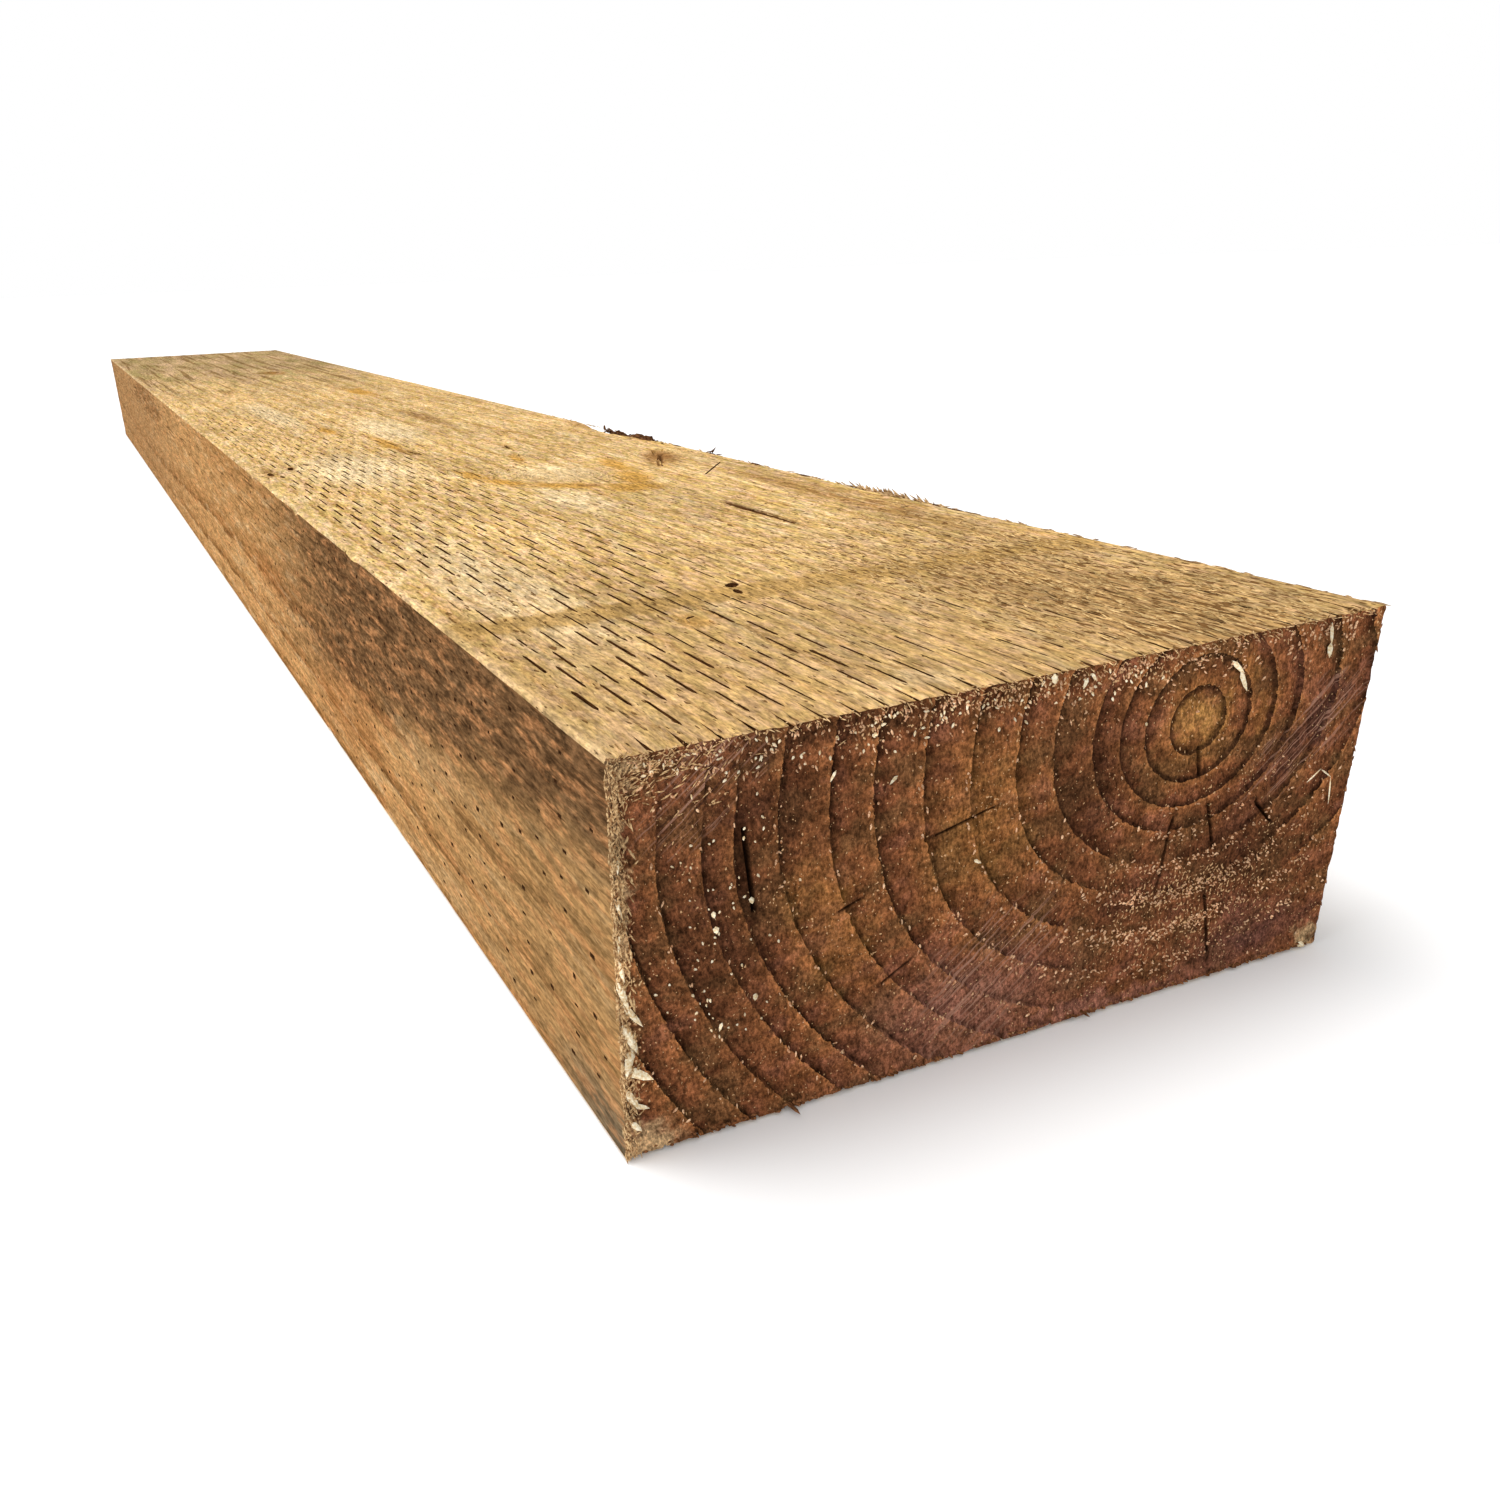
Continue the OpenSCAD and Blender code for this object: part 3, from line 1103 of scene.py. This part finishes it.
def narrow_material():
    """The browner narrow faces."""
    s = Shader("sawn_narrow_face")
    along, inward, down = s.from_corner()
    face = s.combine(along, down, inward)
    grain = s.attribute("grain", "Vector")
    growth = s.attribute("growth")
    loose = s.strayed(face, 12, (14, 6, 0))

    ragged = s.noise(grain, (40, 3.0, 3.0), 3, 0.6)
    phase = s.math("FRACT", s.plus(growth, s.times(ragged, 0.4)))
    s.wood = s.ramp(phase, [
        (0.0, (0.55, 0.31, 0.122)),
        (0.5, (0.52, 0.29, 0.112)),
        (0.85, (0.38, 0.19, 0.065)),
        (0.95, (0.20, 0.09, 0.03)),
        (1.0, (0.46, 0.25, 0.09)),
    ])
    patch = s.noise(grain, (40, 5, 5), 4, 0.65)
    s.paint((0.66, 0.43, 0.21), s.span(patch, 0.50, 0.68, 0.0, 0.7))
    s.paint((0.30, 0.15, 0.055), s.span(patch, 0.46, 0.32, 0.0, 0.7))
    red = s.spots(loose, [(290, 72, 105, 26, 8), (470, 52, 80, 14)])
    s.paint((0.38, 0.16, 0.05), red, 0.5)
    pale = s.spots(loose, [(150, 52, 70, 8, 6), (545, 70, 16, 6), (615, 70, 18, 6), (130, 93, 120, 5)])
    s.paint((0.62, 0.40, 0.19), pale, 0.5)
    s.paint((0.31, 0.18, 0.072), s.span(along, 260, 20, 0.0, 0.6))
    edge = s.noise(face, (36, 7, 7), 4, 0.7)
    limit = s.plus(s.times(along, 0.13), s.times(edge, 30))
    band = s.times(s.span(s.minus(down, limit), 22, -4), s.span(along, 520, 250))
    s.paint((0.115, 0.056, 0.026), band, 0.85)
    dirt = s.times(s.span(along, 60, 5), s.span(down, 78, 95))
    s.paint((0.16, 0.12, 0.075), dirt, 0.85)
    s.paint((0.31, 0.175, 0.078), s.span(along, 700, 1300, 0.0, 0.6))
    s.paint((0.24, 0.10, 0.03), s.attribute("knot"), 0.7)

    hue = s.noise(grain, (16, 3, 3), 3, 0.6)
    s.mottle(hue, 0.80, 1.22)
    s.paint((0.50, 0.22, 0.085), s.span(hue, 0.50, 0.62, 0.0, 0.4))
    streak = s.noise(grain, (26, 1.6, 1.6), 4, 0.7)
    clump = s.noise(grain, (8, 2.2, 2.2), 4, 0.7)
    s.wood = s.mix(s.mottled(streak, 0.76, 1.20), s.mottled(clump, 0.48, 1.52), band)
    fibre = s.noise(grain, (3.4, 1.0, 1.0), 2, 0.6)
    s.mottle(fibre, 0.72, 1.26)
    lines = s.noise(grain, (60, 1.6, 1.6), 2, 0.6)
    line = s.times(s.span(lines, 0.60, 0.67), s.span(down, 48, 20))
    s.paint((0.07, 0.034, 0.014), line, 0.7)
    # Painted shade inside the small incisions by the sunk attribute, partly the darker treatment soaked
    # into them.
    s.paint((0.06, 0.026, 0.011), s.span(s.attribute("sunk"), 0.0, 0.035))
    height = s.plus(s.times(fibre, 0.6), s.times(streak, 1.0))
    return s.finish(s.span(fibre, 0.3, 0.7, 0.62, 0.85), height, 0.0010)


def end_material():
    """The dark red-brown ends, with their rings."""
    s = Shader("end_grain")
    along, inward, down = s.from_corner()
    face = s.combine(inward, down, s.times(along, 0.05))
    loose = s.strayed(face, 8, (11, 11, 0))

    ragged = s.noise(face, (2.2, 2.2, 2.2), 3, 0.65)
    shifted = s.plus(s.attribute("growth"), s.times(s.minus(ragged, 0.5), 0.22))
    # Pale earlywood to dark latewood; the near-black stop at each ring line is partly latewood and
    # partly painted shadow of the ring's step.
    s.wood = s.ramp(s.math("FRACT", shifted), [
        (0.0, (0.38, 0.155, 0.055)),
        (0.10, (0.27, 0.102, 0.037)),
        (0.50, (0.20, 0.072, 0.029)),
        (0.80, (0.125, 0.044, 0.019)),
        (0.93, (0.055, 0.020, 0.009)),
        (0.985, (0.012, 0.0045, 0.002)),
    ])
    cover = s.noise(face, (22, 22, 22), 3, 0.6)
    weak = s.plus(s.spot(face, 172, 84, 74, 44, soft=0.3), s.spot(face, 12, 8, 34, 18))
    plain = s.math("MINIMUM", s.plus(s.span(cover, 0.46, 0.66, 0.0, 0.5), weak), 0.85)
    s.paint((0.18, 0.066, 0.028), plain)

    cast = s.noise(face, (16, 12, 16), 3, 0.6)
    s.paint((0.125, 0.064, 0.026), s.span(cast, 0.52, 0.38, 0.0, 0.6))
    s.paint((0.25, 0.095, 0.055), s.span(cast, 0.52, 0.66, 0.0, 0.45))
    golden = s.spots(loose, [
        (164, 20, 22, 20), (98, 34, 28, 34), (55, 50, 14, 36, -20), (178, 9, 8, 9), (186, 22, 7, 10)
    ], soft=0.0)
    s.paint((0.31, 0.145, 0.035), golden, 0.35)
    s.paint((0.50, 0.26, 0.075), s.spot(loose, 164, 20, 12, 9, soft=0.0), 0.7)
    late = s.span(s.math("FRACT", shifted), 0.70, 0.94)
    around = s.times(late, s.spot(face, 163, 22, 62, 44, soft=0.2))
    s.paint((0.040, 0.016, 0.008), around, 0.75)
    dusty = s.spots(loose, [(98, 86, 50, 22), (130, 98, 90, 6)], soft=0.0)
    s.paint((0.27, 0.115, 0.080), dusty, 0.7)
    purple = s.spots(loose, [(196, 90, 40, 14), (206, 28, 30, 8, -38)], soft=0.0)
    s.paint((0.12, 0.050, 0.040), purple, 0.75)
    dark = s.spots(loose, [
        (26, 46, 26, 46), (60, 2, 70, 9), (132, 30, 22, 32), (186, 60, 38, 32), (202, 30, 26, 7, -38),
        (150, 68, 26, 9), (40, 20, 30, 16)
    ], soft=0.0)
    s.paint((0.055, 0.022, 0.011), dark, 0.7)
    pale = s.spots(loose, [(3, 3, 7, 4, 20), (0, 50, 4, 70), (6, 98, 14, 8), (221, 97, 6, 5)])
    s.paint((0.50, 0.33, 0.17), pale, 0.8)

    mottle = s.noise(face, (5, 5, 5), 4, 0.7)
    s.mottle(mottle, 0.62, 1.42)
    strand = s.noise(face, (1.3, 2.8, 1), 4, 0.75, turn=-12)
    s.mottle(strand, 0.52, 1.52)
    fine = s.noise(face, (0.75, 1.0, 1), 2, 0.6)
    s.mottle(fine, 0.66, 1.34)

    scratched = s.spots(loose, [(104, 78, 34, 22, -40), (206, 30, 32, 14, -38), (22, 10, 26, 12, -40)])
    scratches = s.noise(face, (34, 0.9, 1), 2, 0.6, turn=-40)
    light_scratch = s.times(s.span(scratches, 0.53, 0.63), s.times(scratched, 0.85))
    dark_scratch = s.times(s.span(scratches, 0.44, 0.34), s.times(scratched, 0.7))
    s.paint((0.38, 0.20, 0.135), light_scratch)
    s.paint((0.05, 0.02, 0.014), dark_scratch)

    speck = s.noise(face, (0.8, 1.0, 1), 1, 0.5)
    where = s.noise(face, (12, 9, 12), 2, 0.6)
    rich = s.spots(face, [(170, 74, 56, 24), (120, 3, 110, 7), (2, 50, 6, 60)], soft=0.2)
    bar = s.span(s.plus(where, s.times(rich, 0.30)), 0.45, 0.95, 0.70, 0.56)
    specks = s.span(s.minus(speck, bar), 0.0, 0.05)
    s.paint((0.72, 0.44, 0.22), specks, 0.9)
    # Painted shade, near black, in the checks and gaps and at the foot of each ring step, by the sunk
    # attribute.
    s.paint((0.014, 0.006, 0.003), s.span(s.attribute("sunk"), 0.15, 0.8))
    height = s.plus(s.times(strand, 1.0), s.times(fine, 0.5))
    return s.finish(s.span(fine, 0.3, 0.7, 0.5, 0.75), height, 0.0014)


def scrap_material(name, dark, light, rough):
    """Torn fibres, flakes and bark: two colours in streaks."""
    s = Shader(name)
    along, inward, down = s.from_corner()
    face = s.combine(along, inward, down)
    streak = s.noise(face, (2.5, 0.7, 0.7), 2, 0.6)
    s.wood = s.mix(dark, light, s.span(streak, 0.3, 0.7))
    s.mottle(s.noise(face, (14, 14, 14), 2, 0.5), 0.75, 1.25)
    return s.finish(s.span(streak, 0.3, 0.7, rough, rough + 0.15), streak, 0.0004)


# ---------------------------------------------------------------- torn fibres, flakes and bark


SLIVER_POINTS = 8


class Scraps:
    """Collects small closed shapes for one piece, in millimetres."""

    def __init__(self):
        self.points = []
        self.faces = []

    def sliver(self, base, way, up, long, wide, thick, lift=0.0):
        """A splinter: pointed at both ends, three-sided, and curling up by lift."""
        way = way.normalized()
        side = way.cross(up).normalized()
        up = side.cross(way)
        first = len(self.points)

        def middle(t):
            return base + way * long * t + up * lift * t * t

        self.points.append(middle(0))
        for t, share in ((0.3, 1.0), (0.72, 0.75)):
            centre = middle(t)
            self.points.append(centre - side * wide / 2 * share)
            self.points.append(centre + up * thick * share)
            self.points.append(centre + side * wide / 2 * share)
        self.points.append(middle(1))
        a, tip = first, first + SLIVER_POINTS - 1
        for i in range(3):
            j = (i + 1) % 3
            self.faces.append((a, a + 1 + j, a + 1 + i))
            self.faces.append((a + 1 + i, a + 1 + j, a + 4 + j, a + 4 + i))
            self.faces.append((a + 4 + i, a + 4 + j, tip))

    def lump(self, centre, radii, rough, seed, around=12, rows=7):
        """A flaky lump: an egg shape with stepped, noisy skin."""
        centre = Vector(centre)
        first = len(self.points)
        for r in range(rows + 1):
            tilt = math.pi * r / rows
            ring = 1 if r in (0, rows) else around
            for i in range(ring):
                turn = 2 * math.pi * i / around
                way = Vector((
                    math.cos(tilt), math.sin(tilt) * math.cos(turn), math.sin(tilt) * math.sin(turn)
                ))
                skin = 1 + rough * wobble(way * 10, 4, seed) + 0.5 * rough * wobble(way * 10, 1.6, seed)
                self.points.append(centre + Vector(q * k * skin for q, k in zip(way, radii)))
        last = len(self.points) - 1
        for i in range(around):
            j = (i + 1) % around
            self.faces.append((first, first + 1 + i, first + 1 + j))
            for r in range(rows - 2):
                a = first + 1 + r * around
                self.faces.append((a + i, a + around + i, a + around + j, a + j))
            a = last - around
            self.faces.append((a + i, last, a + j))

    def piece(self, name, dark, light, rough):
        material = scrap_material(name, dark, light, rough)
        made = make_mesh(name, self.points, self.faces, [0] * len(self.faces), [material])
        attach(made, "root")


def torn_top():
    """Fibres lifted by the saw on the top, mostly near the right end's back corner."""
    rng = random.Random("torn top")
    scraps = Scraps()
    while len(scraps.points) < 2300 * SLIVER_POINTS:
        u, v = rng.uniform(1, 260), rng.uniform(4, 219)
        if rng.random() > 0.10 + 1.1 * fray(u, v):
            continue
        torn = fray(u, v)
        base = TOP.place(u, v, swell(TOP, u, v) + 0.15)
        turn = rng.gauss(0, 0.03 + 0.05 * torn)
        way = Vector((rng.choice((-1, 1)) * math.cos(turn), math.sin(turn), 0.01))
        long = rng.uniform(2, 5 + 9 * torn)
        if u < long:
            way.x = -abs(way.x)
        lift = rng.random() ** 4 * (0.4 + 1.8 * torn)
        scraps.sliver(base, way, TOP.out, long, rng.uniform(0.25, 0.7), rng.uniform(0.15, 0.4), lift)
    scraps.piece("lifted_grain", (0.27, 0.14, 0.045), (0.74, 0.52, 0.24), 0.7)


def fuzzy_edges():
    """Short fibres round the right end's outline, thick on its front and top edges."""
    rng = random.Random("fuzzy edges")
    scraps = Scraps()
    for _ in range(900):
        v = rng.uniform(1, 99)
        base = Vector((X + rng.uniform(-0.6, 0.1), -Y + abs(rng.gauss(0, 1.8)), THICK - v))
        way = Vector((rng.uniform(0, 0.5), rng.uniform(-0.25, 0.5), rng.choice((-1, 1)) * 0.8))
        long = rng.uniform(0.8, 3.4)
        scraps.sliver(base, way, RIGHT.out, long, rng.uniform(0.2, 0.7), 0.25, rng.uniform(0, 0.5))
    for _ in range(520):
        u = rng.uniform(1, 222)
        base = Vector((X + rng.uniform(-1.2, 0), u - Y, THICK - abs(rng.gauss(0, 0.9))))
        way = Vector((rng.uniform(0.2, 1), rng.uniform(-0.6, 0.6), rng.uniform(-0.7, 0.3)))
        long = rng.uniform(0.7, 2.4)
        scraps.sliver(base, way, TOP.out, long, rng.uniform(0.2, 0.5), 0.2, rng.uniform(0, 0.5))
    for _ in range(190):
        u, v = abs(rng.gauss(0, 13)), abs(rng.gauss(0, 6))
        base = Vector((X - 0.3, 1 + u - Y, THICK - 1 - v))
        way = Vector((0.2, 0.8, rng.gauss(0.5, 0.5)))
        long = rng.uniform(0.8, 3.2)
        scraps.sliver(base, way, RIGHT.out, long, rng.uniform(0.2, 0.4), 0.2, rng.uniform(0, 0.4))
    scraps.piece("edge_fuzz", (0.24, 0.11, 0.04), (0.78, 0.54, 0.28), 0.7)


# Larger pale flakes on the right end: across from the front, down from the top,
# length, width and lean in degrees from upright.
FLAKES = [
    (1.3, 55, 9, 1.8, 14), (3.4, 61, 8, 1.6, 34), (2.6, 67, 9, 2.2, 22), (2.0, 73, 8, 2.4, -16),
    (4.4, 77, 8, 2.6, 58), (2.2, 83, 7, 2.0, 30), (4.6, 86, 4, 1.4, 70), (1.2, 49, 6, 1.3, 10),
    (1.0, 42, 5, 1.0, -8), (3.0, 91, 4, 1.6, 40), (1.4, 34, 5, 0.9, 12), (1.8, 24, 4, 0.8, -10),
    (114, 1.6, 2.6, 2.0, 0), (123.5, 4.2, 3.0, 1.2, -35), (126, 3.0, 2.2, 1.0, 30),
    (173.4, 8.2, 5.5, 1.4, 48), (176.2, 12.2, 6.5, 1.6, 24), (205.5, 4.6, 6, 1.1, 4),
    (206, 9.0, 4.0, 2.0, -6), (24, 41, 1.6, 1.2, 0), (33.5, 39.6, 1.6, 1.4, 0),
    (24.6, 45, 1.8, 1.6, 0), (34.5, 65, 1.8, 1.4, -20), (25.3, 70.4, 2.2, 1.0, -30),
    (95.8, 44.2, 2.2, 0.9, 60), (70, 18, 3, 1.0, -60), (54, 14, 3, 0.8, -40), (219, 99, 3, 2, 60),
]


def flakes():
    """Cream flakes, a hair of wood and orange specks of painted highlight on the right end."""
    rng = random.Random("flakes")
    scraps = Scraps()

    def flake(u, v, long, wide, lean, lift=0.4, raised=0.0):
        turn = math.radians(lean)
        way = Vector((0.08, math.sin(turn), -math.cos(turn)))
        base = RIGHT.place(u, v, end_relief(RIGHT, u, v) * 0.5 - raised) - way * long / 2
        scraps.sliver(base, way, RIGHT.out, long, wide, 0.35 + 0.25 * wide, lift)

    for u, v, long, wide, lean in FLAKES:
        flake(u, v, long, wide, lean, raised=0.5)
    for _ in range(110):
        u, v = rng.uniform(6, 150), 2 + abs(rng.gauss(0, 5))
        flake(u, v, rng.uniform(0.6, 1.6), rng.uniform(0.4, 0.8), rng.gauss(0, 50), 0.1)
    for _ in range(60):
        u, v = rng.gauss(26, 7), rng.uniform(20, 75)
        flake(u, v, rng.uniform(0.5, 1.1), rng.uniform(0.4, 0.7), rng.gauss(0, 50), 0.1)
    for start, stop in (((207, 46), (212, 43)), ((212, 43), (216.5, 46)), ((216.5, 46), (218, 54))):
        a, b = RIGHT.place(*start, -0.4), RIGHT.place(*stop, -0.2)
        scraps.sliver(a, b - a, RIGHT.out, (b - a).length * 1.1, 0.5, 0.3)
    scraps.piece("pale_flakes", (0.72, 0.52, 0.27), (0.97, 0.89, 0.68), 0.6)

    # Bright orange slivers along the ring lines: painted highlights on the edges of the ring steps.
    scraps = Scraps()
    cy, cz = pith(X)
    while len(scraps.points) < 1300 * SLIVER_POINTS:
        kind = rng.random()
        if kind < 0.62:
            u, v = rng.gauss(168, 28), rng.gauss(72, 15)
        elif kind < 0.78:
            u, v = rng.uniform(2, 215), abs(rng.gauss(0, 5))
        else:
            u, v = rng.uniform(8, 120), rng.uniform(3, 97)
        if not (2 < u < 223 and 1.5 < v < 98):
            continue
        part = ring_count(reach(RIGHT.place(u, v))) % 1.0
        if kind > 0.78 and 0.12 < part < 0.9:
            continue
        if kind < 0.62 and 0.34 < part < 0.93:
            continue
        lean = math.degrees(math.atan2(u - Y - cy, THICK - v - cz)) + 90
        flake(u, v, rng.uniform(0.5, 1.8), rng.uniform(0.3, 0.7), lean + rng.gauss(0, 35), 0.1)
    scraps.piece("orange_specks", (0.38, 0.16, 0.07), (0.92, 0.62, 0.38), 0.55)


def hanging_splinters():
    """Splinters that stick out of the right end's lower edge."""
    rng = random.Random("hanging splinters")
    scraps = Scraps()
    for u, long, wide in ((44, 6.0, 1.5), (45.5, 3.5, 1.2), (136, 4.5, 1.3), (139, 3, 1)):
        base = Vector((X - 1.5, u - Y, 1.6))
        scraps.sliver(base, Vector((1, 0.15, -0.12)), TOP.out, long, wide, 0.7)
    for _ in range(230):
        u = rng.uniform(3, 222)
        base = Vector((X - 0.9, u - Y, rng.uniform(0.3, 1.5)))
        way = Vector((1, rng.uniform(-0.3, 0.3), rng.uniform(-0.1, 0.1)))
        scraps.sliver(base, way, TOP.out, rng.uniform(0.9, 1.9), rng.uniform(0.7, 2.4), 0.5)
    for _ in range(45):
        v = rng.uniform(3, 97)
        base = Vector((X - rng.uniform(0.2, 1), Y - 0.7, THICK - v))
        way = Vector((rng.uniform(0, 0.4), 0.25, rng.choice((-1, 1))))
        scraps.sliver(base, way, RIGHT.out, rng.uniform(1.2, 2.6), rng.uniform(0.5, 1.2), 0.4)
    scraps.piece("end_splinters", (0.06, 0.024, 0.011), (0.30, 0.13, 0.055), 0.6)


def bark_scraps():
    """Bark left along the wane of the back top arris, and a tuft of splinters nearer the end."""
    rng = random.Random("bark")
    scraps = Scraps()
    for u, half, rise in ((482, 13, 2.0), (473, 7, 2.2), (492, 8, 1.4), (520, 5, 1.0), (515, 8, 0.4)):
        for k in range(3):
            centre = (X - u + rng.uniform(-3, 3), Y - 2.2 - k, THICK - 2.4 + rise * 0.6 - k * 0.8)
            radii = (half * rng.uniform(0.6, 1), 2.8, 2.2 + rise * 0.6)
            scraps.lump(centre, radii, 0.42, rng.random() * 90)
    for u, half in ((186, 8), (197, 5), (176, 5), (300, 9), (345, 8), (438, 6), (395, 4)):
        centre = (X - u, Y - 1.0, THICK - 0.6)
        scraps.lump(centre, (half, 1.3, 0.9), 0.5, rng.random() * 90, 8, 6)
    for _ in range(46):
        u = rng.uniform(455, 560)
        base = Vector((X - u, Y - rng.uniform(1, 4), THICK - rng.uniform(0.4, 3)))
        way = Vector((rng.choice((-1, 1)), rng.uniform(-0.2, 0.4), rng.uniform(0, 0.25)))
        long = rng.uniform(4, 12)
        scraps.sliver(base, way, TOP.out, long, rng.uniform(0.8, 2), 0.7, rng.uniform(0, 0.8))
    for u, lean, long in ((396, 0.9, 6), (399, -0.5, 7), (404, 0.15, 9), (392, 0.1, 7)):
        base = Vector((X - u, Y - 0.8, THICK - 0.5))
        scraps.sliver(base, Vector((1, 0.2, abs(lean))), TOP.out, long, 0.9, 0.6, 0.5)
    scraps.piece("bark_scraps", (0.03, 0.013, 0.007), (0.17, 0.075, 0.032), 0.7)

    tuft = Scraps()
    for _ in range(120):
        u = rng.gauss(228, 15)
        base = Vector((X - u, Y - abs(rng.gauss(0.5, 1)), THICK - rng.uniform(0, 1.2)))
        way = Vector((-1, rng.uniform(-0.3, 0.4), rng.uniform(0.02, 0.3)))
        long = rng.uniform(3, 9)
        tuft.sliver(base, way, TOP.out, long, rng.uniform(0.5, 1.3), 0.5, rng.random() ** 2 * 1.8)
    for _ in range(150):
        u = rng.uniform(4, 640)
        base = Vector((X - u, Y - rng.uniform(0.2, 1.4), THICK - rng.uniform(0.1, 0.8)))
        way = Vector((rng.choice((-1, 1)), rng.uniform(-0.1, 0.12), rng.uniform(0, 0.06)))
        tuft.sliver(base, way, TOP.out, rng.uniform(3, 9), rng.uniform(0.4, 0.9), 0.4, rng.random() ** 3)
    tuft.piece("arris_splinters", (0.15, 0.07, 0.026), (0.60, 0.40, 0.20), 0.7)


# ---------------------------------------------------------------- the scene


def add_camera():
    """The photo's view: low, beyond the right end and in front of the timber."""
    data = bpy.data.cameras.new("camera")
    data.sensor_width = 36
    data.lens = 30.14
    data.shift_x = 0.0619
    data.shift_y = 0.0734
    data.clip_start = 0.01
    camera = bpy.data.objects.new("camera", data)
    camera.location = (high.x + 0.2210, low.y - 0.0861, low.z + 0.1893)
    camera.rotation_euler = [math.radians(a) for a in (64.766, 1.857, 65.424)]
    bpy.context.scene.collection.objects.link(camera)
    bpy.context.scene.camera = camera


def add_sun(name, towards, strength, spread):
    """A broad, even light from the direction towards."""
    data = bpy.data.lights.new(name, "SUN")
    data.energy = strength
    data.angle = math.radians(spread)
    light = bpy.data.objects.new(name, data)
    light.rotation_euler = Vector(towards).to_track_quat("Z", "Y").to_euler()
    bpy.context.scene.collection.objects.link(light)


def add_world():
    """Plain white where the camera sees it, and half as bright where it lights the wood."""
    world = bpy.data.worlds.new("studio")
    world.use_nodes = True
    nodes, links = world.node_tree.nodes, world.node_tree.links
    nodes.clear()
    seen, fill = [nodes.new("ShaderNodeBackground") for _ in range(2)]
    for shade, strength in ((seen, 1.0), (fill, 0.5)):
        shade.inputs["Strength"].default_value = strength
        shade.inputs["Color"].default_value = (1, 1, 1, 1)
    path = nodes.new("ShaderNodeLightPath")
    both = nodes.new("ShaderNodeMixShader")
    out = nodes.new("ShaderNodeOutputWorld")
    links.new(path.outputs["Is Camera Ray"], both.inputs[0])
    links.new(fill.outputs[0], both.inputs[1])
    links.new(seen.outputs[0], both.inputs[2])
    links.new(both.outputs[0], out.inputs["Surface"])
    bpy.context.scene.world = world


def add_floor():
    """A pale floor that reaches past the horizon."""
    half = 40.0
    mesh = bpy.data.meshes.new("studio_floor")
    corners = [(-half, -half, 0), (half, -half, 0), (half, half, 0), (-half, half, 0)]
    mesh.from_pydata([Vector(c) + Vector((0, 0, low.z - 0.0006)) for c in corners], [], [(0, 1, 2, 3)])
    floor = bpy.data.objects.new("studio_floor", mesh)
    material = bpy.data.materials.new("studio_floor")
    material.use_nodes = True
    shader = material.node_tree.nodes["Principled BSDF"]
    shader.inputs["Base Color"].default_value = (0.95, 0.95, 0.95, 1)
    shader.inputs["Roughness"].default_value = 0.9
    mesh.materials.append(material)
    bpy.context.scene.collection.objects.link(floor)
    floor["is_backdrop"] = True


add_camera()
bpy.context.scene.view_settings.view_transform = "Standard"
add_world()
add_floor()
add_sun("key_light", (-0.25, -0.35, 1.0), 2.3, 38)
add_sun("fill_light", (1.0, -0.4, 0.55), 1.2, 70)

timber = build_timber([wide_material(), narrow_material(), end_material()])
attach(timber, "root")
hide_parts("sleeper")
torn_top()
fuzzy_edges()
flakes()
hanging_splinters()
bark_scraps()

boxes = {"cad": CAD_BOX, "visual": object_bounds()}
{name: [list(corner) for corner in box] for name, box in boxes.items()}
